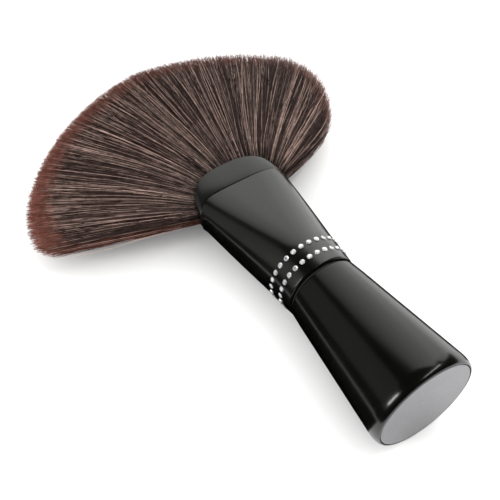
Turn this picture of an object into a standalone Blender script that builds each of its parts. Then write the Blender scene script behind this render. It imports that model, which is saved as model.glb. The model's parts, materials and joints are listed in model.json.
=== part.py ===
"""A neck duster: a weighted round grip, a head that flattens to an oval mouth, and a fan of filaments.

Every piece is drawn along the brush's own axis, with +Y from the end disc to the filament tips, +X
across the fan and +Z out of its flat side. The finished brush lies as it would on a table, on the
grip's shoulder and the filament tips, so its axis dips a little towards the tips. All in metres.
"""

import math

import bmesh
import bpy
from mathutils import Vector

GAP = 0.0003  # clearance between pieces that touch
RING_POINTS = 56  # two for each crystal in a row
INNER_POINTS = 28  # for turned pieces that the grip and head hide

# End of the grip
DISC_RADIUS = 0.01765
DISC_THICKNESS = 0.0014
DISC_BEVEL = 0.0003
PAD_RADIUS = 0.0150
PAD_THICKNESS = 0.0006
PLUG_RADIUS = 0.0160
PLUG_THICKNESS = 0.0044
SLEEVE_WALL = 0.0020
SLEEVE_END = 0.0240
BALLAST_RADIUS = 0.0100
BALLAST_END = 0.0290

# Grip
RIM_Y = 0.0001
RIM_CLEARANCE = 0.00036  # between the disc and the inside of the rim
SHOULDER_RADIUS = 0.0192
SHOULDER_Y = 0.0033
NECK_RADIUS = 0.0137
GRIP_MIDDLE = 0.0280
GRIP_FRONT = 0.05335
GRIP_EDGE = 0.0008
GRIP_WALL = 0.0030
CAVITY_END = 0.0400

# Joint between grip and head
NECK_GROOVE = 0.0012
WASHER_RADIUS = 0.0126
SPIGOT_RADIUS = 0.0090
SPIGOT_BACK = 0.0410
SPIGOT_FRONT = 0.0640
SPIGOT_CHAMFER = 0.0010

# Head
HEAD_BACK = GRIP_FRONT + NECK_GROOVE
HEAD_EDGE = 0.0005
HEAD_FLOOR = 0.0025
ROUND_END = 0.0670
MOUTH_Y = 0.1075
MOUTH_HALF_WIDTH = 0.0192
MOUTH_SIDE_CUT = 0.0042
MOUTH_CUT_POWER = 6
MOUTH_HALF_THICKNESS = 0.0079
MOUTH_SQUARENESS = 3.4
HEAD_SPANS = 6
CRYSTAL_SEAT_RADIUS = 0.0146
HEAD_WALL = 0.0026
MOUTH_WALL = 0.0009

# Crystal rows
CRYSTALS_PER_ROW = 28
CRYSTAL_PHASE = 0.66  # turn of the first stone from +X, in stone spacings
CRYSTAL_ROWS = {"crystal_row_rear": 0.0593, "crystal_row_front": 0.0643}
BAND_WIDTH = 0.0024
BAND_THICKNESS = 0.0008
BAND_SEAT_DEPTH = 0.0011
CRYSTAL_RADIUS = 0.00098
CRYSTAL_HEIGHT = 0.00065
CRYSTAL_ROOT = 0.0003
CRYSTAL_SIDES = 6

# Cup that grips the filaments
CUP_BACK = 0.0840
CUP_FLOOR = 0.0015
CUP_WALL = 0.0010
LIP_SIDE_Y = 0.1050
LIP_FRONT_Y = 0.1190
LIP_SQUARENESS = 2.8
LIP_INSET = 0.00035
LIP_WALL = 0.0012
POTTING_END = 0.0930
ROOTS_SETBACK = 0.0006

# Fan of filaments, in polar form about a point on the axis
FAN_CENTRE_Y = 0.0920
FAN_HALF_ANGLE = math.radians(60.0)
FAN_SECTORS = 11
FAN_ROOT_FRONT = 0.0290
FAN_ROOT_SIDE = 0.0235
FAN_ROOT_SQUARENESS = 4.0
FAN_REACH = 0.1050
FAN_REACH_DROP = 0.0220
FAN_REACH_POWER = 1.65
FAN_ROOT_THICKNESS = 0.0050
FAN_TIP_THICKNESS = 0.0095
FAN_DROOP = 0.0050
FAN_EDGE_THINNING = 0.5
FAN_EDGE_POWER = 4
FLEX_AXIS_Y = 0.1190

# How the brush lies
TIP_Y = FAN_CENTRE_Y + FAN_REACH
TIP_TOP = FAN_TIP_THICKNESS - FAN_DROOP
TIP_BOTTOM = FAN_TIP_THICKNESS + FAN_DROOP
DIP = math.atan2(SHOULDER_RADIUS - TIP_BOTTOM, TIP_Y - SHOULDER_Y)
REST_HEIGHT = SHOULDER_Y * math.sin(DIP) + SHOULDER_RADIUS * math.cos(DIP)
BACK_REACH = -DISC_RADIUS * math.sin(DIP)
FRONT_REACH = TIP_Y * math.cos(DIP) + TIP_TOP * math.sin(DIP)
REST_BACK = -(BACK_REACH + FRONT_REACH) / 2


def make_material(name, colour, roughness, metallic=0.0, transmission=0.0):
    material = bpy.data.materials.new(name)
    material.use_nodes = True
    shader = material.node_tree.nodes["Principled BSDF"]
    shader.inputs["Base Color"].default_value = (*colour, 1.0)
    shader.inputs["Roughness"].default_value = roughness
    shader.inputs["Metallic"].default_value = metallic
    shader.inputs["Transmission Weight"].default_value = transmission
    return material


def add_object(name, mesh, material, parent):
    mesh.materials.append(material)
    mesh.shade_smooth()
    mesh.set_sharp_from_angle(angle=math.radians(32.0))
    piece = bpy.data.objects.new(name, mesh)
    bpy.context.collection.objects.link(piece)
    piece.parent = parent
    return piece


def add_empty(name, location, parent=None, dip=0.0):
    empty = bpy.data.objects.new(name, None)
    bpy.context.collection.objects.link(empty)
    empty.location = location
    empty.rotation_euler = (-dip, 0.0, 0.0)
    empty.parent = parent
    return empty


def add_walls(shape, rings, hollow=False):
    """Join rings of points with faces, and the last to the first if hollow. Returns the rows made."""
    rows = [[shape.verts.new(point) for point in ring] for ring in rings]
    pairs = list(zip(rows, rows[1:]))
    if hollow:
        pairs.append((rows[-1], rows[0]))
    for back, front in pairs:
        for j in range(len(back)):
            k = (j + 1) % len(back)
            shape.faces.new((back[j], back[k], front[k], front[j]))
    return rows


def finish_mesh(name, shape):
    bmesh.ops.recalc_face_normals(shape, faces=shape.faces)
    mesh = bpy.data.meshes.new(name)
    shape.to_mesh(mesh)
    shape.free()
    return mesh


def skin(name, rings, hollow=False):
    """Join rings of points into one closed mesh, ending in caps or, if hollow, in the first ring.

    Point j of a ring faces point -j across the flat side, so a cap is a strip of faces between them.
    """
    shape = bmesh.new()
    rows = add_walls(shape, rings, hollow)
    if not hollow:
        middle = len(rows[0]) // 2
        for row in (rows[0], rows[-1]):
            shape.faces.new((row[0], row[1], row[-1]))
            for j in range(1, middle - 1):
                shape.faces.new((row[j], row[j + 1], row[-j - 1], row[-j]))
            shape.faces.new((row[middle - 1], row[middle], row[middle + 1]))
    return finish_mesh(name, shape)


def oval(y, half_width, half_thickness, squareness=2.0, count=RING_POINTS):
    """A ring of points on a superellipse; squareness 2 is a plain ellipse."""
    power = 2.0 / squareness
    points = []
    for j in range(count):
        turn = math.tau * j / count
        across = math.copysign(abs(math.cos(turn)) ** power, math.cos(turn))
        up = math.copysign(abs(math.sin(turn)) ** power, math.sin(turn))
        points.append(Vector((half_width * across, y, half_thickness * up)))
    return points


def turned(name, profile, hollow=False, count=RING_POINTS):
    """A lathe-turned mesh whose profile is a list of (radius, y) points."""
    return skin(name, [oval(y, radius, radius, count=count) for radius, y in profile], hollow)


def edge_arc(radius, y, size, back):
    """Profile points, in order of y, that round the edge at (radius, y) of a turned piece."""
    steps = 3
    points = []
    for i in range(steps + 1):
        turn = math.pi / 2 * i / steps
        if back:
            points.append((radius - size * (1 - math.sin(turn)), y + size * (1 - math.cos(turn))))
        else:
            points.append((radius - size * (1 - math.cos(turn)), y - size * (1 - math.sin(turn))))
    return points


def grip_radius(y):
    taper = (SHOULDER_RADIUS - NECK_RADIUS) / (GRIP_FRONT - SHOULDER_Y)
    return SHOULDER_RADIUS - taper * (y - SHOULDER_Y)


def grip_outline():
    """The outside of the grip from the disc's rim, round the shoulder and up the taper."""
    rim = DISC_RADIUS + RIM_CLEARANCE
    steps = 7
    points = []
    for i in range(steps):
        turn = math.pi / 2 * i / steps
        radius = rim + (SHOULDER_RADIUS - rim) * math.sin(turn)
        points.append((radius, SHOULDER_Y - (SHOULDER_Y - RIM_Y) * math.cos(turn)))
    points.append((SHOULDER_RADIUS, SHOULDER_Y))
    points.append((grip_radius(GRIP_MIDDLE), GRIP_MIDDLE))
    points.extend(edge_arc(grip_radius(GRIP_FRONT), GRIP_FRONT, GRIP_EDGE, back=False))
    return points


def plug_back():
    return DISC_THICKNESS + PAD_THICKNESS + 2 * GAP


def make_grip_shell(parent, material):
    """The hollow moulding, open at the end for the plug and at the neck for the spigot."""
    plug_front = plug_back() + PLUG_THICKNESS + GAP
    seat = DISC_RADIUS + GAP
    seat_end = plug_back() - GAP / 2
    bore = PLUG_RADIUS + GAP
    hole = SPIGOT_RADIUS + GAP
    inside = [
        (hole, GRIP_FRONT),
        (hole, CAVITY_END),
        (grip_radius(CAVITY_END) - GRIP_WALL, CAVITY_END),
        (grip_radius(plug_front) - GRIP_WALL, plug_front),
        (bore, plug_front),
        (bore, seat_end),
        (seat, seat_end),
        (seat, RIM_Y),
    ]
    mesh = turned("grip_shell", grip_outline() + inside, hollow=True)
    add_object("grip_shell", mesh, material, parent)


def make_end_disc(parent, material):
    profile = [
        (DISC_RADIUS - DISC_BEVEL, 0.0),
        (DISC_RADIUS, DISC_BEVEL),
        (DISC_RADIUS, DISC_THICKNESS),
    ]
    add_object("end_disc", turned("end_disc", profile), material, parent)


def make_disc_pad(parent, material):
    back = DISC_THICKNESS + GAP
    profile = [(PAD_RADIUS, back), (PAD_RADIUS, back + PAD_THICKNESS)]
    mesh = turned("disc_adhesive_pad", profile, count=INNER_POINTS)
    add_object("disc_adhesive_pad", mesh, material, parent)


def make_end_plug(parent, material):
    """A flanged plug whose sleeve holds the ballast."""
    flange_front = plug_back() + PLUG_THICKNESS
    sleeve_in = BALLAST_RADIUS + GAP
    sleeve_out = sleeve_in + SLEEVE_WALL
    profile = [
        (PLUG_RADIUS, plug_back()),
        (PLUG_RADIUS, flange_front),
        (sleeve_out, flange_front),
        (sleeve_out, SLEEVE_END),
        (sleeve_in, SLEEVE_END),
        (sleeve_in, flange_front),
    ]
    add_object("end_plug", turned("end_plug", profile, count=INNER_POINTS), material, parent)


def make_ballast(parent, material):
    back = plug_back() + PLUG_THICKNESS + GAP
    profile = [
        (BALLAST_RADIUS, back),
        (BALLAST_RADIUS, BALLAST_END - SPIGOT_CHAMFER),
        (BALLAST_RADIUS - SPIGOT_CHAMFER, BALLAST_END),
    ]
    add_object("ballast_slug", turned("ballast_slug", profile, count=INNER_POINTS), material, parent)


def make_spigot(parent, material):
    profile = [
        (SPIGOT_RADIUS - SPIGOT_CHAMFER, SPIGOT_BACK),
        (SPIGOT_RADIUS, SPIGOT_BACK + SPIGOT_CHAMFER),
        (SPIGOT_RADIUS, SPIGOT_FRONT - SPIGOT_CHAMFER),
        (SPIGOT_RADIUS - SPIGOT_CHAMFER, SPIGOT_FRONT),
    ]
    add_object("joining_spigot", turned("joining_spigot", profile, count=INNER_POINTS), material, parent)


def make_washer(parent, material):
    hole = SPIGOT_RADIUS + GAP
    back, front = GRIP_FRONT + GAP, HEAD_BACK - GAP
    profile = [(WASHER_RADIUS, back), (WASHER_RADIUS, front), (hole, front), (hole, back)]
    add_object("neck_washer", turned("neck_washer", profile, hollow=True), material, parent)


def head_radius(y):
    """Radius of the head's round length, which swells slightly away from the neck."""
    return NECK_RADIUS + (CRYSTAL_SEAT_RADIUS - NECK_RADIUS) * (y - HEAD_BACK) / (ROUND_END - HEAD_BACK)


def head_oval(y, inset=0.0):
    """The head's section at y, round up to ROUND_END and flattening from there to the mouth."""
    if y <= ROUND_END:
        radius = head_radius(y) - inset
        return oval(y, radius, radius)
    flat = (y - ROUND_END) / (MOUTH_Y - ROUND_END)
    half_width = CRYSTAL_SEAT_RADIUS + (MOUTH_HALF_WIDTH - CRYSTAL_SEAT_RADIUS) * flat
    half_thickness = CRYSTAL_SEAT_RADIUS + (MOUTH_HALF_THICKNESS - CRYSTAL_SEAT_RADIUS) * flat
    squareness = 2.0 + (MOUTH_SQUARENESS - 2.0) * min(flat, 1.0)
    return oval(y, half_width - inset, half_thickness - inset, squareness)


def wall_at(y):
    """Thickness of the head's wall, which thins towards the mouth."""
    flat = max(0.0, (y - ROUND_END) / (MOUTH_Y - ROUND_END))
    return HEAD_WALL + (MOUTH_WALL - HEAD_WALL) * min(flat, 1.0)


def head_stations(start=ROUND_END):
    """Where the head's sections are drawn, from start to just short of the mouth."""
    spacing = (MOUTH_Y - ROUND_END) / HEAD_SPANS
    return [ROUND_END + spacing * i for i in range(HEAD_SPANS) if ROUND_END + spacing * i >= start]


def at_mouth(ring, ahead=0.0):
    """Cut a ring at the mouth back towards its two sides, where the filaments fan out past it."""
    widest = max(p.x for p in ring)
    cuts = [MOUTH_SIDE_CUT * abs(p.x / widest) ** MOUTH_CUT_POWER for p in ring]
    return [Vector((p.x, p.y + ahead - cut, p.z)) for p, cut in zip(ring, cuts)]


def make_head_shell(parent, material):
    """The hollow head, with a seat turned into it for each crystal row."""
    rings = [oval(y, radius, radius) for radius, y in edge_arc(NECK_RADIUS, HEAD_BACK, HEAD_EDGE, back=True)]
    for row_y in CRYSTAL_ROWS.values():
        for side, depths in ((-1, (0.0, BAND_SEAT_DEPTH)), (1, (BAND_SEAT_DEPTH, 0.0))):
            edge = row_y + side * (BAND_WIDTH / 2 + GAP)
            rings.extend(head_oval(edge, depth) for depth in depths)
    stations = head_stations()
    rings.extend(head_oval(y) for y in stations)
    rings.append(at_mouth(head_oval(MOUTH_Y)))
    rings.append(at_mouth(head_oval(MOUTH_Y, wall_at(MOUTH_Y))))
    rings.extend(head_oval(y, wall_at(y)) for y in reversed(stations))
    floor_front = HEAD_BACK + HEAD_FLOOR
    rings.append(head_oval(floor_front, HEAD_WALL))
    hole = SPIGOT_RADIUS + GAP
    rings.append(oval(floor_front, hole, hole))
    rings.append(oval(HEAD_BACK, hole, hole))
    add_object("head_shell", skin("head_shell", rings, hollow=True), material, parent)


def crystal_points(turn, row_y, out_radius):
    """Rings of one cut stone: its root in the band, its girdle and its flat table."""
    outward = Vector((math.cos(turn), 0.0, math.sin(turn)))
    sideways = Vector((-math.sin(turn), 0.0, math.cos(turn)))
    levels = (
        (CRYSTAL_RADIUS * 0.8, -CRYSTAL_ROOT),
        (CRYSTAL_RADIUS, CRYSTAL_HEIGHT * 0.2),
        (CRYSTAL_RADIUS * 0.55, CRYSTAL_HEIGHT),
    )
    rings = []
    for radius, height in levels:
        centre = outward * (out_radius + height) + Vector((0.0, row_y, 0.0))
        ring = []
        for k in range(CRYSTAL_SIDES):
            angle = math.tau * k / CRYSTAL_SIDES
            aside = sideways * (radius * math.cos(angle))
            ring.append(centre + aside + Vector((0.0, radius * math.sin(angle), 0.0)))
        rings.append(ring)
    return rings


def make_crystals(name, row_y):
    """All the stones of a row as one mesh of separate cut solids."""
    shape = bmesh.new()
    for i in range(CRYSTALS_PER_ROW):
        turn = math.tau * (i + CRYSTAL_PHASE) / CRYSTALS_PER_ROW
        rows = add_walls(shape, crystal_points(turn, row_y, head_radius(row_y)))
        shape.faces.new(rows[0])
        shape.faces.new(rows[-1])
    return finish_mesh(name, shape)


def make_crystal_row(name, row_y, parent, material):
    """A thin band that carries one row of stones, united with them."""
    back, front = row_y - BAND_WIDTH / 2, row_y + BAND_WIDTH / 2
    profile = [
        (head_radius(back), back),
        (head_radius(front), front),
        (head_radius(front) - BAND_THICKNESS, front),
        (head_radius(back) - BAND_THICKNESS, back),
    ]
    band = add_object(name, turned(name, profile, hollow=True), material, parent)
    stones = add_object(name + "_stones", make_crystals(name + "_stones", row_y), material, parent)
    stones.hide_render = True
    stones.display_type = "WIRE"
    union = band.modifiers.new("stones", "BOOLEAN")
    union.operation = "UNION"
    union.object = stones


def lip_edge(ring, setback=0.0):
    """Slide a ring's points to the cup's edge: an arched tongue above and below, cut back at the sides."""
    widest = max(p.x for p in ring)
    points = []
    for p in ring:
        rise = math.sqrt(max(0.0, 1.0 - abs(p.x / widest) ** LIP_SQUARENESS))
        points.append(Vector((p.x, LIP_SIDE_Y + (LIP_FRONT_Y - LIP_SIDE_Y) * rise - setback, p.z)))
    return points


def cup_oval(y, inset):
    return head_oval(y, wall_at(y) + GAP + inset)


def lip_oval(inset):
    """The lip's section, whose outside lies just below the head's and so covers the head's wall."""
    return head_oval(MOUTH_Y, LIP_INSET + inset)


def make_bristle_cup(parent, material):
    """An oval cup inside the head whose arched lip stands out of the mouth and grips the filaments."""
    stations = head_stations(CUP_BACK)
    rings = [cup_oval(y, 0.0) for y in (CUP_BACK, *stations)]
    rings.extend([at_mouth(cup_oval(MOUTH_Y, 0.0), GAP), at_mouth(lip_oval(0.0), GAP)])
    rings.extend([lip_edge(lip_oval(0.0)), lip_edge(lip_oval(LIP_WALL))])
    rings.append(at_mouth(cup_oval(MOUTH_Y, CUP_WALL)))
    rings.extend(cup_oval(y, CUP_WALL) for y in (*reversed(stations), CUP_BACK + CUP_FLOOR))
    add_object("bristle_cup", skin("bristle_cup", rings), material, parent)


def make_potting_block(parent, material):
    """The resin that binds the filament ends at the bottom of the cup."""
    back = CUP_BACK + CUP_FLOOR + GAP
    rings = [cup_oval(y, CUP_WALL + GAP) for y in (back, POTTING_END)]
    add_object("potting_block", skin("potting_block", rings), material, parent)


def make_filament_roots(parent, material):
    """The length of the filament bundle that the cup clamps, ending just behind its lip."""
    inset = CUP_WALL + GAP
    back = POTTING_END + GAP
    rings = [cup_oval(y, inset) for y in (back, *head_stations(back))]
    rings.append(at_mouth(cup_oval(MOUTH_Y, inset)))
    rings.append(lip_edge(lip_oval(LIP_WALL + GAP), ROOTS_SETBACK))
    add_object("filament_roots", skin("filament_roots", rings), material, parent)


def root_distance(angle):
    """Distance from the fan's centre to the filament roots, which clear the head and the lip."""
    front = abs(math.cos(angle)) / FAN_ROOT_FRONT
    side = abs(math.sin(angle)) / FAN_ROOT_SIDE
    return (front**FAN_ROOT_SQUARENESS + side**FAN_ROOT_SQUARENESS) ** (-1.0 / FAN_ROOT_SQUARENESS)


def tip_distance(angle):
    return FAN_REACH - FAN_REACH_DROP * abs(angle / FAN_HALF_ANGLE) ** FAN_REACH_POWER


def half_thickness(share, angle):
    """Half the fan's thickness at a share of the way from root to tip."""
    thinning = 1.0 - FAN_EDGE_THINNING * abs(angle / FAN_HALF_ANGLE) ** FAN_EDGE_POWER
    return (FAN_ROOT_THICKNESS + (FAN_TIP_THICKNESS - FAN_ROOT_THICKNESS) * share) * thinning


def middle_height(share):
    """Height of the fan's mid-thickness, which droops to the tips under the filaments' own weight."""
    return -FAN_DROOP * share**2


def fan_point(angle, share, z, aside):
    """A point of the fan seen from the flex axis, moved aside across the filaments by a small gap."""
    distance = root_distance(angle) + (tip_distance(angle) - root_distance(angle)) * share
    turn = angle + aside / distance
    y = FAN_CENTRE_Y - FLEX_AXIS_Y + distance * math.cos(turn)
    return Vector((distance * math.sin(turn), y, z))


def tuft_ring(first, last, share, side):
    """The outline of one tuft across the filaments: its outer face and its face at mid-thickness."""
    columns = 3
    middle = middle_height(share)
    outer, inner = [], []
    for i in range(columns + 1):
        across = i / columns
        angle = first + (last - first) * across
        aside = GAP / 2 * (1.0 - 2.0 * across)
        outer.append(fan_point(angle, share, middle + side * half_thickness(share, angle), aside))
        inner.append(fan_point(angle, share, middle + side * GAP / 2, aside))
    return outer + inner[::-1]


def make_tuft(name, first, last, side, parent, material):
    """One wedge of filaments, drawn as a plain solid that widens and thickens to its tips."""
    steps = 4
    shape = bmesh.new()
    rows = add_walls(shape, [tuft_ring(first, last, i / steps, side) for i in range(steps + 1)])
    for row in (rows[0], rows[-1]):
        for j in range(len(row) // 2 - 1):
            shape.faces.new((row[j], row[j + 1], row[-j - 2], row[-j - 1]))
    add_object(name, finish_mesh(name, shape), material, parent)


def make_fan(parent, material):
    """Two layers of tufts that fan out from the cup and bend together at the flex axis."""
    width = 2 * FAN_HALF_ANGLE / FAN_SECTORS
    for layer, side in (("upper", 1), ("lower", -1)):
        for i in range(FAN_SECTORS):
            first = -FAN_HALF_ANGLE + i * width
            make_tuft(f"tuft_{layer}_{i + 1:02d}", first, first + width, side, parent, material)


def main():
    for old in list(bpy.data.objects):
        bpy.data.objects.remove(old, do_unlink=True)

    black_gloss = make_material("black_gloss_moulding", (0.012, 0.012, 0.012), 0.12)
    black_cup = make_material("black_satin_moulding", (0.015, 0.015, 0.015), 0.25)
    silver = make_material("satin_silver", (0.62, 0.62, 0.65), 0.35, metallic=1.0)
    crystal = make_material("crystal", (0.95, 0.96, 1.0), 0.03, transmission=0.8)
    rubber = make_material("black_rubber", (0.02, 0.02, 0.02), 0.7)
    grey_plastic = make_material("grey_plastic", (0.16, 0.16, 0.17), 0.5)
    iron = make_material("cast_iron", (0.25, 0.25, 0.26), 0.6, metallic=1.0)
    foam = make_material("adhesive_foam", (0.75, 0.74, 0.7), 0.9)
    resin = make_material("amber_resin", (0.45, 0.3, 0.12), 0.3)
    filament = make_material("dark_brown_filament", (0.05, 0.03, 0.025), 0.45)

    axis = add_empty("brush_axis", (0.0, REST_BACK, REST_HEIGHT), dip=DIP)
    flex = add_empty("flex_axis", (0.0, FLEX_AXIS_Y, 0.0), parent=axis)

    make_end_disc(axis, silver)
    make_disc_pad(axis, foam)
    make_end_plug(axis, grey_plastic)
    make_ballast(axis, iron)
    make_grip_shell(axis, black_gloss)
    make_spigot(axis, grey_plastic)
    make_washer(axis, rubber)
    make_head_shell(axis, black_gloss)
    for name, row_y in CRYSTAL_ROWS.items():
        make_crystal_row(name, row_y, axis, crystal)
    make_bristle_cup(axis, black_cup)
    make_potting_block(axis, resin)
    make_filament_roots(axis, filament)
    make_fan(flex, filament)


main()
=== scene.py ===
"""Looks for the neck duster: gloss black mouldings, cut crystals and a fan of separate filaments.

Everything is drawn in the brush's own frame, x across the fan, y from the end disc towards the tips and
z out of its flat side, and is placed by the end face's mount. All in metres.
"""

import json
import math

import bpy
import numpy as np
from mathutils import Matrix, Vector


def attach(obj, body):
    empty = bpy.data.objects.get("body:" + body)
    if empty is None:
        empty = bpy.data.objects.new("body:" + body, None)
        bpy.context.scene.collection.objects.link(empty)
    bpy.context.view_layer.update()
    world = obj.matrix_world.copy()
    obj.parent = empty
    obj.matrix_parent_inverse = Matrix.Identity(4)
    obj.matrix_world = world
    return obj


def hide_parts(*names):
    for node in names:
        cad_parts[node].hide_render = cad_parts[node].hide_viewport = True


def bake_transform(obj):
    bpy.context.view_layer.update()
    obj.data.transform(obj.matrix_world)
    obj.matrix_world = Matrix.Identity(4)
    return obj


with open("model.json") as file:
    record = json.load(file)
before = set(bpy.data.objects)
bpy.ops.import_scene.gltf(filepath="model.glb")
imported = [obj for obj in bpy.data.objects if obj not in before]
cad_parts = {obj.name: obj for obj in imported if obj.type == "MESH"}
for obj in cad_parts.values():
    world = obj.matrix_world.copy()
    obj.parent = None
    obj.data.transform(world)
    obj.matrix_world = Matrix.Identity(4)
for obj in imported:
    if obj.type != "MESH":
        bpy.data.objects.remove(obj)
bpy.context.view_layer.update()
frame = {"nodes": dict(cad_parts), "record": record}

SEED = 20
RING_POINTS = 168

# Dark and light tones of each material, between which it is mottled
GLOSS_BLACK = ((0.0018, 0.0018, 0.0015), (0.0026, 0.0026, 0.0022))
SATIN_BLACK = ((0.0040, 0.0040, 0.0036), (0.0055, 0.0055, 0.0050))
SPUN_SILVER = ((0.164, 0.162, 0.172), (0.182, 0.180, 0.191))
RUBBER = ((0.006, 0.006, 0.006), (0.011, 0.011, 0.011))
GREY_PLASTIC = ((0.13, 0.13, 0.14), (0.18, 0.18, 0.19))
CAST_IRON = ((0.16, 0.16, 0.17), (0.30, 0.29, 0.29))
ADHESIVE_FOAM = ((0.66, 0.65, 0.61), (0.80, 0.79, 0.75))
AMBER_RESIN = ((0.34, 0.21, 0.08), (0.50, 0.34, 0.14))
BOUND_FILAMENT = ((0.006, 0.004, 0.004), (0.035, 0.022, 0.019))
PALE_FLOOR = ((0.86, 0.86, 0.86), (0.89, 0.89, 0.89))

# Tones by place, from 0 to 1, in a noise: a stone's facets, painted bright or dark as painted glints and
# reflections, and the mottle along a filament
CRYSTAL_PAINTED_GLINTS = ((0.10, (0.14, 0.15, 0.16)), (0.35, (0.92, 0.93, 0.95)), (1.0, (1.0, 1.0, 1.0)))
STRAND_MOTTLE = ((0.35, (0.75, 0.75, 0.75)), (0.65, (1.2, 1.2, 1.2)))

# Grip. TAPER_RINGS are the first and last ring's y, and their number
DISC_RADIUS = 0.01765
DISC_THICKNESS = 0.0014
DISC_BEVEL = 0.00035
RIM_RADIUS = 0.01801
RIM_Y = 0.0001
SHOULDER_RADIUS = 0.0192
SHOULDER_Y = 0.0033
SHOULDER_END = 0.0048
NECK_RADIUS = 0.0137
TAPER_RINGS = (0.0090, 0.0480, 12)
GRIP_FRONT = 0.05335
GRIP_EDGE = 0.0009
SEAT_RADIUS = 0.01795
SEAT_END = 0.00245
BORE_RADIUS = 0.0163
BORE_END = 0.0073
CAVITY_END = 0.0400
GRIP_WALL = 0.0030
SPIGOT_HOLE = 0.0093

# Head
HEAD_BACK = 0.05455
HEAD_EDGE = 0.0006
HEAD_FLOOR = 0.05705
HEAD_RINGS = (0.05595, 0.1020, 46)
HEAD_WALL = 0.0026
MOUTH_WALL = 0.0009
CRYSTAL_SEAT_RADIUS = 0.0146
ROUND_END = 0.0670
FLATTEN_SOFTNESS = 0.0030
MOUTH_Y = 0.1075
MOUTH_HALF_WIDTH = 0.0192
MOUTH_HALF_THICKNESS = 0.0079
MOUTH_SIDE_CUT = 0.0042
MOUTH_CUT_POWER = 9
MOUTH_SQUARENESS = 3.4
MOUTH_EDGE = 0.0003

# Crystals
CRYSTAL_ROWS = {"crystal_row_rear": 0.0593, "crystal_row_front": 0.0643}
CRYSTALS_PER_ROW = 28
CRYSTAL_PHASE = 0.66
CRYSTAL_RADIUS = 0.00098
CRYSTAL_HEIGHT = 0.00048
CRYSTAL_SIDES = 12

# Cup and lip
PIECE_GAP = 0.0003
CUP_RINGS = (0.0840, 0.1020, 16)
CUP_FLOOR = 0.0855
CUP_WALL = 0.0010
LIP_SIDE_Y = 0.1050
LIP_FRONT_Y = 0.1190
LIP_SQUARENESS = 2.8
LIP_INSET = 0.00035
LIP_WALL = 0.0012
LIP_SEAM = 0.00045
LIP_SEAM_SKEW = 0.010
LIP_SEAM_EDGE = 0.0002
LIP_EDGE = 0.00028

# Fan of filaments, in polar form about a point on the axis. Its outline turns in at a corner on each side
FAN_CENTRE_Y = 0.0920
FAN_LEFT = math.radians(65.0)
FAN_RIGHT = math.radians(60.5)
FAN_SECTORS = 11
FAN_REACH = 0.1050
FAN_SLOPE = {"left": 0.000280, "right": 0.00020}  # metres lost for each degree off the axis
FAN_CORNER = {"left": 48.0, "right": 37.0}  # degrees
FAN_CORNER_SPAN = {"left": 18.0, "right": 24.0}  # degrees
FAN_CORNER_DROP = {"left": 0.0045, "right": 0.0330}
FAN_HALF_THICKNESS = 0.0095
FAN_EDGE_THINNING = 0.62
FAN_DROOP = 0.0050
CAD_HALF_ANGLE = math.radians(60.0)
FLOOR_CLEARANCE = 0.0004

# Each filament. Shares are of all the filaments, or of a filament's length
STRANDS = {"upper": 13500, "lower": 8500}
STRAND_RINGS = 8
STRAND_RADIUS = 0.000095
NEAR_FACE_SHARE = 0.5
ROOT_FILL = (0.985, 0.97)  # how much of the lip's opening the roots fill, across and up
ROOT_DEPTH = 0.0020  # how far behind the lip a filament starts, and how much that varies
ROOT_DEPTH_RANGE = 0.0008
STRAY_SHARE = 0.16
STRAY_SPREAD = 2.6
TIP_SWAY = 0.0012  # how far the tips gather in bunches, in radians, and how much further at the right
TIP_SWAY_RIGHT = 0.0032
TIP_SCATTER = 0.013
TIP_ROUNDING = 0.057
SHORT_SHARE = 0.10
SHORT_SHARE_RIGHT = 0.30
LEAVING_SCATTER = 0.03
ARRIVING_SCATTER = 0.055
TIP_TAPER = 0.10
TIP_WIDTH = 0.35
STRAND_DARK = np.array([0.026, 0.0110, 0.0085])
# The pale strand colour is partly the filaments' own lighter tone and partly painted sheen, standing for
# glints along glossy filaments
STRAND_PALE_SHEEN = np.array([0.480, 0.335, 0.285])
STRAND_TIP = np.array([0.215, 0.060, 0.039])
PALE_SHEEN_SHARE = 0.25
RED_START = 0.955
RED_EDGE = 0.35

# Floor and lamps. A lamp's bearing is (azimuth from +y towards +x, elevation) in degrees
FLOOR_REACH = 4.0
FLOOR_GLINT = (-0.070, -0.062)
FLOOR_SHADE = (-0.062, 0.066)
FLOOR_SHADE_BACK = -0.0890
WORLD_STRENGTH = 1.5
LAMP_COLOUR = (1.0, 1.0, 0.96)
BACK_BEARING = (31.0, 30.0)
BACK_DISTANCE = 1.2
BACK_EDGES = (0.60, -0.60)
BACK_HEIGHT = (-0.54, 0.68)
BACK_STRIPS = 6
BACK_RADIANCE = (0.55, 1.75)
OVERHEAD_ROLL = -30.0

# Camera, in the brush's frame
CAMERA_LENS = 57.07
CAMERA_SENSOR = 36.0
CAMERA_PLACE = (-0.10262, -0.07357, 0.22082)
CAMERA_FORWARD = (0.31984, 0.54741, -0.77333)
CAMERA_UP = (0.43748, 0.63867, 0.63302)


def mount_frame():
    """The brush's origin and its x, y and z directions in the row frame."""
    mount = next(m for m in frame["record"]["mounts"] if m["name"] == "end_face")
    forward = -np.array(mount["axis"], float)
    forward /= np.linalg.norm(forward)
    across = np.array([1.0, 0.0, 0.0])
    return np.array(mount["pos_m"], float), np.array([across, forward, np.cross(across, forward)])


ORIGIN, AXES = mount_frame()


def to_world(points):
    return ORIGIN + np.asarray(points, float) @ AXES


def direction(vector):
    return Vector(np.asarray(vector, float) @ AXES)


# ---------------------------------------------------------------- materials


def new_material(name):
    material = bpy.data.materials.new(name)
    material.use_nodes = True
    tree = material.node_tree
    return material, tree, tree.nodes["Principled BSDF"]


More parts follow.
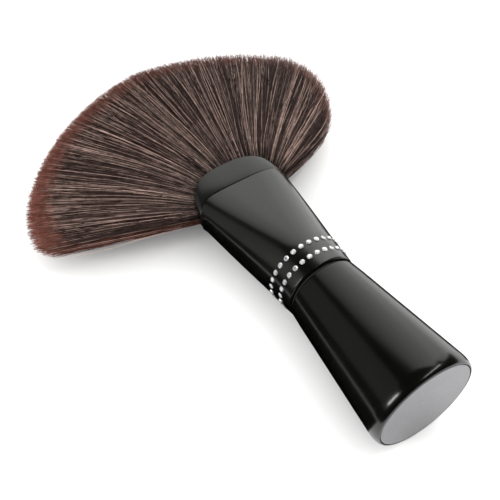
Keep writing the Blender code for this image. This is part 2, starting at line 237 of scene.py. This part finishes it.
def object_noise(tree, scale, detail=3.0, stretch=(1.0, 1.0, 1.0)):
    """A noise texture in object coordinates, whose scale is in features per metre."""
    coordinates = tree.nodes.new("ShaderNodeTexCoord")
    mapping = tree.nodes.new("ShaderNodeMapping")
    mapping.inputs["Scale"].default_value = stretch
    noise = tree.nodes.new("ShaderNodeTexNoise")
    noise.inputs["Scale"].default_value = scale
    noise.inputs["Detail"].default_value = detail
    tree.links.new(coordinates.outputs["Object"], mapping.inputs["Vector"])
    tree.links.new(mapping.outputs["Vector"], noise.inputs["Vector"])
    return noise


def ramp(tree, source, stops):
    node = tree.nodes.new("ShaderNodeValToRGB")
    for i, (place, colour) in enumerate(stops):
        stop = node.color_ramp.elements[i] if i < 2 else node.color_ramp.elements.new(place)
        stop.position = place
        stop.color = (*colour, 1.0)
    tree.links.new(source, node.inputs["Fac"])
    return node


def spread(tree, source, low, high, start=0.3, end=0.7):
    node = tree.nodes.new("ShaderNodeMapRange")
    node.inputs["From Min"].default_value = start
    node.inputs["From Max"].default_value = end
    node.inputs["To Min"].default_value = low
    node.inputs["To Max"].default_value = high
    tree.links.new(source, node.inputs["Value"])
    return node.outputs["Result"]


def add_bump(tree, shader, source, distance, strength=1.0):
    bump = tree.nodes.new("ShaderNodeBump")
    bump.inputs["Distance"].default_value = distance
    bump.inputs["Strength"].default_value = strength
    tree.links.new(source, bump.inputs["Height"])
    tree.links.new(bump.outputs["Normal"], shader.inputs["Normal"])


def moulded(name, tones, roughness, grain=900.0, relief=0.000004, metallic=0.0, sheen=0.5):
    """Moulded plastic, rubber or metal: faint mottling, uneven gloss and a fine skin."""
    material, tree, shader = new_material(name)
    broad = object_noise(tree, scale=60.0, detail=4.0)
    fine = object_noise(tree, scale=grain, detail=2.0)
    colour = ramp(tree, broad.outputs["Fac"], ((0.35, tones[0]), (0.65, tones[1])))
    tree.links.new(colour.outputs["Color"], shader.inputs["Base Color"])
    tree.links.new(spread(tree, broad.outputs["Fac"], *roughness), shader.inputs["Roughness"])
    add_bump(tree, shader, fine.outputs["Fac"], relief)
    shader.inputs["Metallic"].default_value = metallic
    shader.inputs["Specular IOR Level"].default_value = sheen
    return material


def silver():
    """Satin silver with a faint cloud in its colour and a fine, even grain."""
    material, tree, shader = new_material("spun_silver")
    cloud = object_noise(tree, scale=90.0, detail=3.0)
    fine = object_noise(tree, scale=2600.0, detail=2.0)
    colour = ramp(tree, cloud.outputs["Fac"], ((0.3, SPUN_SILVER[0]), (0.7, SPUN_SILVER[1])))
    tree.links.new(colour.outputs["Color"], shader.inputs["Base Color"])
    tree.links.new(spread(tree, fine.outputs["Fac"], 0.26, 0.34), shader.inputs["Roughness"])
    add_bump(tree, shader, fine.outputs["Fac"], 0.000003)
    shader.inputs["Metallic"].default_value = 1.0
    return material


def crystal():
    """Foil-backed cut stone, each facet painted bright or dark at random, as painted glints and reflections.
    """
    material, tree, shader = new_material("foiled_crystal")
    # Painted reflection: each facet's brightness comes from its normal through a noise, standing for glints
    geometry = tree.nodes.new("ShaderNodeNewGeometry")
    facet = tree.nodes.new("ShaderNodeTexWhiteNoise")
    facet.noise_dimensions = "3D"
    snapped = tree.nodes.new("ShaderNodeVectorMath")
    snapped.operation = "SNAP"
    snapped.inputs[1].default_value = (0.05, 0.05, 0.05)
    tree.links.new(geometry.outputs["True Normal"], snapped.inputs[0])
    tree.links.new(snapped.outputs["Vector"], facet.inputs["Vector"])
    colour = ramp(tree, facet.outputs["Value"], CRYSTAL_PAINTED_GLINTS)
    tree.links.new(colour.outputs["Color"], shader.inputs["Base Color"])
    shader.inputs["Metallic"].default_value = 0.58
    shader.inputs["Roughness"].default_value = 0.12
    shader.inputs["Coat Weight"].default_value = 1.0
    shader.inputs["Coat Roughness"].default_value = 0.02
    return material


def filament():
    """Fine nylon: the strand's colour attribute, mottled along its length; besides the strand's own tone,
    that colour holds painted sheen on pale strands and painted shade near the root.
    """
    material, tree, shader = new_material("nylon_filament")
    strand = tree.nodes.new("ShaderNodeAttribute")
    strand.attribute_name = "strand_colour"
    mottle = object_noise(tree, scale=420.0, detail=2.0)
    mix = tree.nodes.new("ShaderNodeMix")
    mix.data_type = "RGBA"
    mix.blend_type = "MULTIPLY"
    mix.inputs["Factor"].default_value = 1.0
    shade = ramp(tree, mottle.outputs["Fac"], STRAND_MOTTLE)
    tree.links.new(strand.outputs["Color"], mix.inputs["A"])
    tree.links.new(shade.outputs["Color"], mix.inputs["B"])
    tree.links.new(mix.outputs["Result"], shader.inputs["Base Color"])
    shader.inputs["Roughness"].default_value = 0.5
    shader.inputs["Specular IOR Level"].default_value = 0.25
    return material


def bound_filament():
    """The cut bundle inside the lip: dark, with streaks along the filaments."""
    material, tree, shader = new_material("bound_filament")
    streaks = object_noise(tree, scale=260.0, detail=3.0, stretch=(6.0, 0.6, 6.0))
    colour = ramp(tree, streaks.outputs["Fac"], ((0.35, BOUND_FILAMENT[0]), (0.7, BOUND_FILAMENT[1])))
    tree.links.new(colour.outputs["Color"], shader.inputs["Base Color"])
    tree.links.new(spread(tree, streaks.outputs["Fac"], 0.4, 0.7), shader.inputs["Roughness"])
    add_bump(tree, shader, streaks.outputs["Fac"], 0.0001)
    return material


# ---------------------------------------------------------------- meshes


def new_object(name, points, faces, material, sharp_angle=35.0):
    mesh = bpy.data.meshes.new(name)
    mesh.from_pydata([tuple(p) for p in to_world(points)], [], faces)
    mesh.update()
    mesh.materials.append(material)
    mesh.shade_smooth()
    mesh.set_sharp_from_angle(angle=math.radians(sharp_angle))
    piece = bpy.data.objects.new(name, mesh)
    bpy.context.scene.collection.objects.link(piece)
    return piece


def loft(name, rings, material, closed=True, sharp_angle=35.0):
    """Join rings of points with faces; the last ring meets the first, or both ends are capped."""
    count = len(rings[0])
    points = np.concatenate(rings)
    faces = []
    pairs = list(zip(range(len(rings) - 1), range(1, len(rings))))
    if closed:
        pairs.append((len(rings) - 1, 0))
    for back, front in pairs:
        for j in range(count):
            k = (j + 1) % count
            faces.append((back * count + k, back * count + j, front * count + j, front * count + k))
    if not closed:
        faces.append(tuple(range(count)))
        faces.append(tuple((len(rings) - 1) * count + j for j in reversed(range(count))))
    return new_object(name, points, faces, material, sharp_angle)


def oval(y, half_width, half_thickness, squareness=2.0):
    turn = np.arange(RING_POINTS) * math.tau / RING_POINTS
    power = 2.0 / squareness
    across = np.sign(np.cos(turn)) * np.abs(np.cos(turn)) ** power
    up = np.sign(np.sin(turn)) * np.abs(np.sin(turn)) ** power
    return np.stack([half_width * across, np.full(RING_POINTS, y), half_thickness * up], axis=1)


def turned(profile):
    return [oval(y, radius, radius) for radius, y in profile]


def edge_arc(radius, y, size, back, steps=8):
    """Profile points, in order of y, that round the edge at (radius, y) of a turned piece."""
    points = []
    for i in range(steps + 1):
        turn = math.pi / 2 * i / steps
        if back:
            points.append((radius - size * (1 - math.sin(turn)), y + size * (1 - math.cos(turn))))
        else:
            points.append((radius - size * (1 - math.cos(turn)), y - size * (1 - math.sin(turn))))
    return points


def grip_radius(y):
    taper = (SHOULDER_RADIUS - NECK_RADIUS) / (GRIP_FRONT - SHOULDER_Y)
    return SHOULDER_RADIUS - taper * (y - SHOULDER_Y)


def make_grip(material):
    """The hollow tapered grip with its rounded shoulder."""
    drop = grip_radius(RIM_Y) - RIM_RADIUS
    outside = []
    quarter = np.linspace(0.0, math.pi / 2, 25)
    for y in SHOULDER_END - (SHOULDER_END - RIM_Y) * np.cos(quarter):
        toward = (SHOULDER_END - y) / (SHOULDER_END - RIM_Y)
        outside.append((grip_radius(y) - drop * (1 - math.sqrt(max(0.0, 1 - toward**2))), y))
    outside.extend((grip_radius(y), y) for y in np.linspace(*TAPER_RINGS))
    outside.extend(edge_arc(grip_radius(GRIP_FRONT), GRIP_FRONT, GRIP_EDGE, back=False))
    inside = [
        (SPIGOT_HOLE, GRIP_FRONT),
        (SPIGOT_HOLE, CAVITY_END),
        (grip_radius(CAVITY_END) - GRIP_WALL, CAVITY_END),
        (grip_radius(BORE_END) - GRIP_WALL, BORE_END),
        (BORE_RADIUS, BORE_END),
        (BORE_RADIUS, SEAT_END),
        (SEAT_RADIUS, SEAT_END),
        (SEAT_RADIUS, RIM_Y),
    ]
    piece = loft("grip", turned(outside + inside), material)
    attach(piece, "handle")
    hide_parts("grip_shell")


def make_end_disc(material):
    """The flat disc, as rings from its middle out, with a thin bevel round its face."""
    face = [(DISC_RADIUS * share, 0.0) for share in (0.02, 0.2, 0.4, 0.6, 0.8, 0.94)]
    bevel = edge_arc(DISC_RADIUS, 0.0, DISC_BEVEL, back=True, steps=5)
    profile = face + bevel + [(DISC_RADIUS, DISC_THICKNESS), (0.0004, DISC_THICKNESS)]
    piece = loft("silver_end_disc", turned(profile), material, closed=False, sharp_angle=50.0)
    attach(piece, "handle")
    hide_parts("end_disc")


def flatness(y):
    """0 where the head is round, rising to 1 at the mouth, with a soft start."""
    past = y - ROUND_END
    return (past + math.hypot(past, FLATTEN_SOFTNESS)) / 2 / (MOUTH_Y - ROUND_END)


def head_oval(y, inset=0.0):
    """The head's outline at y, or one that lies a given distance inside it."""
    swell = NECK_RADIUS + (CRYSTAL_SEAT_RADIUS - NECK_RADIUS) * (y - HEAD_BACK) / (ROUND_END - HEAD_BACK)
    flat = flatness(y)
    past = max(0.0, flat * (MOUTH_Y - ROUND_END))
    level = swell - (CRYSTAL_SEAT_RADIUS - NECK_RADIUS) * past / (ROUND_END - HEAD_BACK)
    half_width = level + (MOUTH_HALF_WIDTH - CRYSTAL_SEAT_RADIUS) * flat
    half_thickness = level + (MOUTH_HALF_THICKNESS - CRYSTAL_SEAT_RADIUS) * flat
    squareness = 2.0 + (MOUTH_SQUARENESS - 2.0) * min(flat, 1.0)
    return oval(y, half_width - inset, half_thickness - inset, squareness)


def wall_at(y):
    flat = min(max((y - ROUND_END) / (MOUTH_Y - ROUND_END), 0.0), 1.0)
    return HEAD_WALL + (MOUTH_WALL - HEAD_WALL) * flat


def at_mouth(ring, setback=0.0):
    """Cut a ring at the mouth back towards its two sides, where the filaments fan out past it."""
    ring = ring.copy()
    ring[:, 1] -= MOUTH_SIDE_CUT * np.abs(ring[:, 0] / ring[:, 0].max()) ** MOUTH_CUT_POWER + setback
    return ring


def rounded_edge(inner, outer, size, steps=5):
    """(inset, setback) pairs that round both sides of a wall's edge, from its outer to its inner face."""
    pairs = []
    for i in range(steps + 1):
        turn = math.pi / 2 * i / steps
        pairs.append((outer + size * (1 - math.cos(turn)), size * (1 - math.sin(turn))))
    return pairs + [(inner - (inset - outer), setback) for inset, setback in reversed(pairs)]


def make_head(material):
    """The hollow head, round at the groove and a flat oval at the mouth."""
    rings = turned(edge_arc(NECK_RADIUS, HEAD_BACK, HEAD_EDGE, back=True))
    stations = list(np.linspace(*HEAD_RINGS))
    rings.extend(head_oval(y) for y in stations)
    rings.extend(
        at_mouth(head_oval(MOUTH_Y, inset), setback)
        for inset, setback in rounded_edge(wall_at(MOUTH_Y), 0.0, MOUTH_EDGE)
    )
    inner = [y for y in stations if y > HEAD_FLOOR]
    rings.extend(head_oval(y, wall_at(y)) for y in reversed(inner))
    rings.append(head_oval(HEAD_FLOOR, HEAD_WALL))
    rings.append(oval(HEAD_FLOOR, SPIGOT_HOLE, SPIGOT_HOLE))
    rings.append(oval(HEAD_BACK, SPIGOT_HOLE, SPIGOT_HOLE))
    piece = loft("head", rings, material)
    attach(piece, "handle")
    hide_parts("head_shell")


def make_crystal_row(name, row_y, material):
    """A row of round brilliants set on the head, each with a table, a crown and a narrow back.

    A level is (radius in stone radii, height over the head, turn in sides)."""
    sides = CRYSTAL_SIDES
    levels = (
        (0.35, -0.0004, 0.0),
        (0.92, -0.0001, 0.0),
        (1.0, 0.12 * CRYSTAL_HEIGHT, 0.0),
        (0.80, 0.62 * CRYSTAL_HEIGHT, 0.5),
        (0.50, CRYSTAL_HEIGHT, 0.0),
    )
    radius_here = head_oval(row_y)[:, 0].max()
    points, faces = [], []
    for i in range(CRYSTALS_PER_ROW):
        turn = math.tau * (i + CRYSTAL_PHASE) / CRYSTALS_PER_ROW
        outward = np.array([math.cos(turn), 0.0, math.sin(turn)])
        sideways = np.array([-math.sin(turn), 0.0, math.cos(turn)])
        first = len(points)
        for size, height, shift in levels:
            centre = outward * (radius_here + height) + np.array([0.0, row_y, 0.0])
            for k in range(sides):
                angle = math.tau * (k + shift) / sides
                along = np.array([0.0, math.sin(angle), 0.0])
                points.append(centre + CRYSTAL_RADIUS * size * (sideways * math.cos(angle) + along))
        for level in range(len(levels) - 1):
            for k in range(sides):
                a, b = first + level * sides + k, first + level * sides + (k + 1) % sides
                c, d = a + sides, b + sides
                if level == 2:
                    faces.extend([(a, b, c), (b, d, c)])
                elif level == 3:
                    before = first + (level + 1) * sides + k
                    after = first + (level + 1) * sides + (k + 1) % sides
                    faces.extend([(a, after, before), (a, b, after)])
                else:
                    faces.append((a, b, d, c))
        faces.append(tuple(first + k for k in reversed(range(sides))))
        faces.append(tuple(first + (len(levels) - 1) * sides + k for k in range(sides)))
    piece = new_object(name + "_stones", points, faces, material, sharp_angle=1.0)
    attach(piece, "handle")
    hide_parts(name)


def lip_y(x, widest):
    rise = np.sqrt(np.maximum(0.0, 1.0 - np.abs(x / widest) ** LIP_SQUARENESS))
    return LIP_SIDE_Y + (LIP_FRONT_Y - LIP_SIDE_Y) * rise


def cup_oval(y, inset):
    return head_oval(y, wall_at(y) + PIECE_GAP + inset)


def lip_ring(inset, setback):
    ring = head_oval(MOUTH_Y, LIP_INSET + inset)
    ring[:, 1] = lip_y(ring[:, 0], ring[:, 0].max()) - setback
    return ring


def seam_ring(inset, ahead):
    """A ring just in front of the head's edge. The cup sits a hair askew: the seam narrows to the right."""
    ring = at_mouth(head_oval(MOUTH_Y, inset), -ahead)
    ring[:, 1] -= LIP_SEAM_SKEW * ring[:, 0]
    return ring


def make_cup(material):
    """The oval cup whose arched lip stands out of the mouth and grips the filaments."""
    stations = np.linspace(*CUP_RINGS)
    rings = [cup_oval(y, 0.0) for y in stations]
    rings.append(at_mouth(cup_oval(MOUTH_Y, 0.0)))
    rings.append(seam_ring(wall_at(MOUTH_Y) + PIECE_GAP, LIP_SEAM))
    for inset, ahead in ((1.0, 0.0), (0.3, 0.3), (0.0, 1.0)):
        rings.append(seam_ring(LIP_INSET + inset * LIP_SEAM_EDGE, LIP_SEAM + ahead * LIP_SEAM_EDGE))
    rings.extend(lip_ring(inset, setback) for inset, setback in rounded_edge(LIP_WALL, 0.0, LIP_EDGE))
    rings.append(at_mouth(cup_oval(MOUTH_Y, CUP_WALL)))
    rings.extend(cup_oval(y, CUP_WALL) for y in reversed(stations) if y > CUP_FLOOR)
    rings.append(cup_oval(CUP_FLOOR, CUP_WALL))
    piece = loft("cup", rings, material, closed=False)
    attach(piece, "handle")
    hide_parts("bristle_cup")


# ---------------------------------------------------------------- filaments


def side_share(angle):
    """0 at the middle of the fan and 1 at its left or right edge."""
    return np.where(angle < 0, -angle / FAN_LEFT, angle / FAN_RIGHT)


def fan_reach(angle):
    """Distance from the fan's centre to the tips at mid-thickness."""
    degrees = np.abs(np.degrees(angle))

    def by_side(values):
        return np.where(angle < 0, values["left"], values["right"])

    corner = (degrees - by_side(FAN_CORNER)) / by_side(FAN_CORNER_SPAN)
    drop = by_side(FAN_CORNER_DROP) * np.clip(corner, 0.0, 1.2) ** 2
    return FAN_REACH - by_side(FAN_SLOPE) * degrees - drop


def fan_half_thickness(angle):
    return FAN_HALF_THICKNESS * (1.0 - FAN_EDGE_THINNING * np.clip(side_share(angle), 0, 1) ** 5)


def strand_roots(rng, side, count):
    """Each filament's angle in the fan, its depth, and its root in the lip's opening.

    The depth runs from 0 at the fan's middle plane to 1 or -1 at its upper or lower face. Half of the
    filaments lie near the face, where they show."""
    share = (np.arange(count) + rng.random(count)) / count
    angle = -FAN_LEFT + (FAN_LEFT + FAN_RIGHT) * share
    near_face = rng.random(count) < NEAR_FACE_SHARE
    depth = side * np.where(near_face, rng.uniform(0.80, 1.0, count), rng.uniform(0.02, 0.82, count))

    ring = head_oval(MOUTH_Y, LIP_INSET + LIP_WALL + PIECE_GAP)
    inside, thick = ring[:, 0].max(), ring[:, 2].max()
    across = np.sign(angle) * np.sin(math.pi / 2 * np.clip(side_share(angle), 0, 1))
    x = inside * ROOT_FILL[0] * across
    room = np.maximum(0.0, 1.0 - np.abs(x / inside) ** MOUTH_SQUARENESS) ** (1 / MOUTH_SQUARENESS)
    y = lip_y(x, inside) - ROOT_DEPTH - ROOT_DEPTH_RANGE * rng.random(count)
    return angle, depth, np.stack([x, y, thick * room * depth * ROOT_FILL[1]], axis=1)


def strand_tips(rng, angle, depth, bunch, right):
    """Where each filament ends in the fan's plane. Tips gather in bunches, and some fall short."""
    count = len(angle)
    bunch_fine = np.sin(angle * 420.0 + 11.0 * depth + 3.0 * np.sin(angle * 67.0))
    sway = (TIP_SWAY + TIP_SWAY_RIGHT * right) * bunch + TIP_SWAY * bunch_fine
    tip_angle = angle + sway + rng.normal(0, TIP_SCATTER, count)
    reach = fan_reach(tip_angle) * (1.0 - TIP_ROUNDING * np.abs(depth) ** 2.5)
    reach += rng.normal(0, 0.0007, count) * (1.0 + 1.3 * right)
    short = rng.random(count) < SHORT_SHARE + SHORT_SHARE_RIGHT * right
    reach -= (0.004 + 0.005 * right) * short * rng.random(count)
    return np.stack([reach * np.sin(tip_angle), FAN_CENTRE_Y + reach * np.cos(tip_angle)], axis=1)


def heading(angle, length):
    """Vectors in the fan's plane, at an angle from the axis."""
    return np.stack([np.sin(angle), np.cos(angle)], axis=1) * length[:, None]


def smooth_curves(start, leaving, end, arriving, t):
    """Cubic curves from start to end at each t, with their directions at the two ends."""
    weights = (2 * t**3 - 3 * t**2 + 1, t**3 - 2 * t**2 + t, -2 * t**3 + 3 * t**2, t**3 - t**2)
    ends = (start, leaving, end, arriving)
    return sum(weight[None, :, None] * vector[:, None] for weight, vector in zip(weights, ends))


def strand_lines(rng, side, count):
    """Centrelines of one layer's filaments in the brush frame, with each one's angle and depth, and t, the
    place of every ring on them, from 0 at the root to 1 at the tip."""
    angle, depth, root = strand_roots(rng, side, count)
    stray = np.where(rng.random(count) < STRAY_SHARE, STRAY_SPREAD, 1.0)
    bunch = np.sin(angle * 150.0 + 5.0 * depth + 2.0 * np.sin(angle * 31.0))
    right = np.clip((angle + 0.2) / 0.9, 0, 1)
    tip = strand_tips(rng, angle, depth, bunch, right)

    # Each leaves the lip in its own direction and bows on its way to the tip
    way = tip - root[:, :2]
    length = np.linalg.norm(way, axis=1)
    outward = np.clip(side_share(angle), 0, 1) ** 4
    bulge = outward * (angle > 0)
    leaving = angle * (0.86 + 0.26 * outward + 0.05 * bulge)
    leaving += rng.normal(0, LEAVING_SCATTER, count) * stray
    arriving = np.arctan2(way[:, 0], way[:, 1]) - 0.22 * bulge
    arriving += rng.normal(0, ARRIVING_SCATTER, count) * stray + 0.05 * right * bunch
    t = np.linspace(0.0, 1.0, STRAND_RINGS) ** 0.9
    flat = smooth_curves(root[:, :2], heading(leaving, length), tip, heading(arriving, length), t)
    ripple = np.sin(t[None] * rng.uniform(4, 9, (count, 1)) + rng.uniform(0, math.tau, (count, 1)))
    size = rng.uniform(0.00005, 0.00030, (count, 1)) * t[None]
    flat[..., 0] += ripple * size * np.cos(angle)[:, None]
    flat[..., 1] -= ripple * size * np.sin(angle)[:, None]

    # The fan thickens towards the tips and droops on to the floor
    root_z, tip_z = root[:, 2], depth * fan_half_thickness(angle)
    lift = rng.normal(0, 0.00025, (count, 1)) * np.sin(math.pi * t)[None]
    height = root_z[:, None] + (tip_z - root_z)[:, None] * t[None] ** 0.9
    droop = FAN_DROOP * (1.0 - 0.7 * np.clip(side_share(angle), 0, 1) ** 4)
    height += lift - droop[:, None] * t[None] ** 2 + 0.0004 * side * bunch[:, None] * t[None] * (1 - t[None])
    return np.concatenate([flat, height[..., None]], axis=2), angle, depth, t


def strand_colours(rng, angle, depth, t):
    """Colour along each strand: darkened towards the root as painted shade, brown along it with some pale
    strands that are partly their own tone and partly painted sheen, and red-brown at the tip.
    """
    count = len(angle)
    clump = np.sin(angle * 97.0 + 4.0 * depth + 2.0 * np.sin(angle * 23.0))
    # Painted sheen: some strands are made pale, partly their own tone and partly the glints of glossy
    # filaments
    pale = rng.random(count) < PALE_SHEEN_SHARE * (1.0 + 0.5 * clump)
    sheen_paleness = np.where(pale, rng.uniform(0.35, 1.0, count), 0.10 * rng.random(count) ** 2)
    body = STRAND_DARK + (STRAND_PALE_SHEEN - STRAND_DARK) * sheen_paleness[:, None]
    body = body * rng.uniform(0.7, 1.3, (count, 1))
    left = np.clip(-angle / FAN_LEFT, 0, 1)
    start = RED_START - 0.05 * rng.random(count) - 0.045 * np.clip(left * 2.0, 0, 1)
    red = np.clip((t[None] - start[:, None]) / 0.06, 0, 1)[..., None]
    red = red * rng.uniform(0.6, 1.0, (count, 1, 1))
    edge = np.clip((left - 0.982) / 0.012, 0, 1) * (depth < 0)
    red = np.maximum(red, RED_EDGE * edge[:, None, None])
    # Painted shade: each strand darkens towards its root, where the filaments crowd into the lip
    shade = (0.45 + 0.55 * np.clip(t / 0.25, 0, 1))[None, :, None]
    return body[:, None] * shade * (1 - red) + STRAND_TIP * red


def strand_mesh(name, lines, colours, widths, material):
    """Three-sided tubes along the lines, closed at both ends, as one mesh."""
    count, rings = lines.shape[:2]
    along = np.gradient(lines, axis=1)
    along /= np.linalg.norm(along, axis=2, keepdims=True)
    aside = np.cross(along, np.array([0.0, 0.0, 1.0]))
    aside /= np.linalg.norm(aside, axis=2, keepdims=True)
    up = np.cross(aside, along)
    corners = []
    for k in range(3):
        turn = math.pi / 2 + math.tau * k / 3
        corners.append(lines + widths[..., None] * (aside * math.cos(turn) + up * math.sin(turn)))
    points = np.stack(corners, axis=2).reshape(-1, 3)
    base = (np.arange(count) * rings * 3)[:, None, None]
    ring = (np.arange(rings - 1) * 3)[None, :, None]
    k = np.arange(3)[None, None, :]
    a = base + ring + k
    b = base + ring + (k + 1) % 3
    quads = np.stack([b, a, a + 3, b + 3], axis=3).reshape(-1, 4)
    first = base[:, 0]
    caps = np.concatenate([first + np.array([0, 1, 2]), first + (rings - 1) * 3 + np.array([2, 1, 0])])
    loops = np.concatenate([quads.ravel(), caps.ravel()])
    starts = np.concatenate([np.arange(len(quads)) * 4, len(quads) * 4 + np.arange(len(caps)) * 3])
    mesh = bpy.data.meshes.new(name)
    mesh.vertices.add(len(points))
    mesh.vertices.foreach_set("co", to_world(points).astype(np.float32).ravel())
    mesh.loops.add(len(loops))
    mesh.loops.foreach_set("vertex_index", loops.astype(np.int32))
    mesh.polygons.add(len(starts))
    mesh.polygons.foreach_set("loop_start", starts.astype(np.int32))
    mesh.update(calc_edges=True)
    mesh.shade_smooth()
    colour = mesh.attributes.new("strand_colour", "FLOAT_COLOR", "POINT")
    values = np.ones((count, rings, 3, 4), np.float32)
    values[..., :3] = colours[:, :, None, :]
    colour.data.foreach_set("color", values.ravel())
    mesh.materials.append(material)
    piece = bpy.data.objects.new(name, mesh)
    bpy.context.scene.collection.objects.link(piece)
    return piece


def make_fan(material):
    """One piece of filaments for each of the CAD's tufts."""
    rng = np.random.default_rng(SEED)
    for layer, side in (("upper", 1), ("lower", -1)):
        lines, angle, depth, t = strand_lines(rng, side, STRANDS[layer])
        world_height = to_world(lines)[..., 2]
        lines[..., 2] += np.maximum(0.0, FLOOR_CLEARANCE - world_height)
        colours = strand_colours(rng, angle, depth, t)
        taper = np.clip((1.0 - t) / TIP_TAPER, 0.0, 1.0) * (1.0 - TIP_WIDTH) + TIP_WIDTH
        widths = STRAND_RADIUS * rng.uniform(0.8, 1.2, (len(angle), 1)) * taper[None]
        sector = (angle + CAD_HALF_ANGLE) / (2 * CAD_HALF_ANGLE) * FAN_SECTORS
        sector = np.clip(sector.astype(int), 0, FAN_SECTORS - 1)
        for i in range(FAN_SECTORS):
            chosen = sector == i
            piece = strand_mesh(
                f"filaments_{layer}_{i + 1:02d}", lines[chosen], colours[chosen], widths[chosen], material
            )
            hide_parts(f"tuft_{layer}_{i + 1:02d}")
            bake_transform(piece)


# ---------------------------------------------------------------- stage


def add_panel(name, bearing, distance, across, up, radiance, roll=0.0):
    """A soft lamp. Its plane squarely faces the brush from its bearing, and across and up give the lamp's
    edges in that plane, per metre of distance."""
    azimuth, elevation = (math.radians(angle) for angle in bearing)
    level = math.cos(elevation)
    outward = Vector((math.sin(azimuth) * level, math.cos(azimuth) * level, math.sin(elevation)))
    turn = outward.to_track_quat("Z", "Y").to_matrix() @ Matrix.Rotation(math.radians(roll), 3, "Z")
    width, height = ((edges[1] - edges[0]) * distance for edges in (across, up))
    data = bpy.data.lights.new(name, "AREA")
    data.shape = "RECTANGLE"
    data.size, data.size_y = width, height
    data.energy = radiance * math.pi * width * height
    data.color = LAMP_COLOUR
    lamp = bpy.data.objects.new(name, data)
    bpy.context.scene.collection.objects.link(lamp)
    middle = Vector(((across[0] + across[1]) / 2, (up[0] + up[1]) / 2, 1.0)) * distance
    lamp.matrix_world = Matrix.Translation(turn @ middle) @ turn.to_4x4()
    lamp.visible_camera = False


def make_floor(name, across, along, material, in_gloss):
    """One rectangle of the floor; those that don't show in the gloss stand for dark parts of the room."""
    mesh = bpy.data.meshes.new(name)
    places = ((0, 0), (1, 0), (1, 1), (0, 1))
    mesh.from_pydata([(across[i], along[j], 0) for i, j in places], [], [(0, 1, 2, 3)])
    mesh.materials.append(material)
    floor = bpy.data.objects.new(name, mesh)
    bpy.context.scene.collection.objects.link(floor)
    floor.visible_glossy = in_gloss


def make_stage():
    """A pale floor under soft lamps."""
    material, tree, shader = new_material("pale_floor")
    mottle = object_noise(tree, scale=3.0, detail=2.0)
    colour = ramp(tree, mottle.outputs["Fac"], ((0.3, PALE_FLOOR[0]), (0.7, PALE_FLOOR[1])))
    tree.links.new(colour.outputs["Color"], shader.inputs["Base Color"])
    shader.inputs["Roughness"].default_value = 0.9
    whole = (-FLOOR_REACH, FLOOR_REACH)
    make_floor("floor_left", (-FLOOR_REACH, FLOOR_GLINT[0]), whole, material, in_gloss=False)
    make_floor("floor_glint", FLOOR_GLINT, whole, material, in_gloss=True)
    make_floor("floor_beside", FLOOR_SHADE, (FLOOR_SHADE_BACK, FLOOR_REACH), material, in_gloss=False)
    make_floor("floor_behind", FLOOR_SHADE, (-FLOOR_REACH, FLOOR_SHADE_BACK), material, in_gloss=True)
    make_floor("floor_right", (FLOOR_SHADE[1], FLOOR_REACH), whole, material, in_gloss=True)

    scene = bpy.context.scene
    scene.view_settings.view_transform = "Standard"
    world = bpy.data.worlds.new("studio")
    world.use_nodes = True
    background = world.node_tree.nodes["Background"]
    background.inputs["Color"].default_value = (1.0, 1.0, 1.0, 1.0)
    background.inputs["Strength"].default_value = WORLD_STRENGTH
    scene.world = world
    world.cycles_visibility.glossy = False

    edges = np.linspace(*BACK_EDGES, BACK_STRIPS + 1)
    for i, radiance in enumerate(np.linspace(*BACK_RADIANCE, BACK_STRIPS)):
        strip = (edges[i + 1], edges[i])
        add_panel(f"back_strip_{i + 1}", BACK_BEARING, BACK_DISTANCE, strip, BACK_HEIGHT, float(radiance))
    add_panel("back_strip_end", BACK_BEARING, BACK_DISTANCE, (-0.95, edges[-1]), (-0.58, 0.30), radiance=1.5)
    add_panel("left_fill", (-62.0, 18.0), 1.6, across=(-0.65, 0.55), up=(-0.28, 0.55), radiance=0.24)
    add_panel("left_key", (-87.0, 29.0), 0.9, across=(-0.05, 0.05), up=(-0.24, 0.24), radiance=16.0)
    add_panel(
        "overhead_strip",
        (126.0, 58.0),
        0.9,
        across=(-0.36, 0.46),
        up=(0.075, 0.125),
        radiance=13.0,
        roll=OVERHEAD_ROLL,
    )


def make_camera():
    data = bpy.data.cameras.new("camera")
    data.lens = CAMERA_LENS
    data.sensor_width = CAMERA_SENSOR
    data.clip_start, data.clip_end = 0.01, 20.0
    camera = bpy.data.objects.new("camera", data)
    bpy.context.scene.collection.objects.link(camera)
    forward = direction(CAMERA_FORWARD).normalized()
    right = forward.cross(direction(CAMERA_UP).normalized()).normalized()
    turn = Matrix((right, right.cross(forward), -forward)).transposed()
    camera.matrix_world = Matrix.Translation(to_world(CAMERA_PLACE)) @ turn.to_4x4()
    bpy.context.scene.camera = camera


def repaint(name, material):
    """Give a node that stays as the CAD made it a material of its own."""
    frame["nodes"][name].data.materials.clear()
    frame["nodes"][name].data.materials.append(material)


gloss = moulded("gloss_black", GLOSS_BLACK, (0.17, 0.22), relief=0.000001)
lacquer = moulded("head_gloss_black", GLOSS_BLACK, (0.19, 0.24), relief=0.000001, sheen=0.95)
satin = moulded("satin_black", SATIN_BLACK, (0.24, 0.30), relief=0.000002, sheen=0.75)
make_grip(gloss)
make_end_disc(silver())
make_head(lacquer)
stones = crystal()
for row_name, row_place in CRYSTAL_ROWS.items():
    make_crystal_row(row_name, row_place, stones)
make_cup(satin)
repaint("neck_washer", moulded("washer_rubber", RUBBER, (0.6, 0.8)))
grey = moulded("grey_plastic", GREY_PLASTIC, (0.42, 0.58))
repaint("end_plug", grey)
repaint("joining_spigot", grey)
iron = moulded("cast_iron", CAST_IRON, (0.45, 0.7), grain=600.0, relief=0.00004, metallic=1.0)
repaint("ballast_slug", iron)
foam = moulded("adhesive_foam", ADHESIVE_FOAM, (0.8, 0.95), grain=1500.0, relief=0.00006)
repaint("disc_adhesive_pad", foam)
repaint("potting_block", moulded("amber_resin", AMBER_RESIN, (0.2, 0.4)))
repaint("filament_roots", bound_filament())
make_fan(filament())
make_stage()
make_camera()
